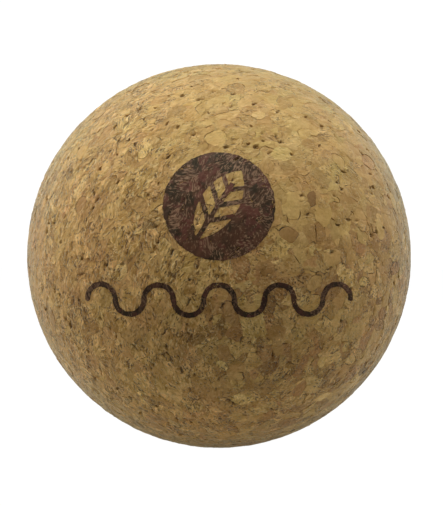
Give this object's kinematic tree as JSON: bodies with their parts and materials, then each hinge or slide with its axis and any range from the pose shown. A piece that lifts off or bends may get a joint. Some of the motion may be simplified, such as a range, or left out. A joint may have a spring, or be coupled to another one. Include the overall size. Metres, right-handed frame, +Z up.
{
  "type": "massage ball",
  "caption": "Solid ball of pressed cork granules with a printed front, for rolling under a foot or between the body and a wall.",
  "frame": {"origin": "centre of the ball", "axes": "+Z up, the printed side faces -Y, +X to the right of the print"},
  "size_m": [0.065, 0.0651, 0.065],
  "materials": {
    "cork_matrix": "matte turned agglomerated cork",
    "pale_granules": "matte cork granule, cream",
    "straw_granules": "matte cork granule, straw yellow",
    "golden_granules": "matte cork granule, golden brown",
    "tan_granules": "matte cork granule, mid brown",
    "russet_granules": "matte cork granule, warm brown",
    "umber_granules": "matte cork granule, dark brown",
    "bark_flecks": "matte bark, near black brown",
    "print_ink": "matte dark brown printing ink, worn on the high grain"
  },
  "bodies": {
    "root": {"cork_matrix": "cork_matrix", "pale_granules": "pale_granules", "straw_granules": "straw_granules", "golden_granules": "golden_granules", "tan_granules": "tan_granules", "russet_granules": "russet_granules", "umber_granules": "umber_granules", "bark_flecks": "bark_flecks", "print_badge": "print_ink", "print_wave": "print_ink"}
  },
  "joints": []
}
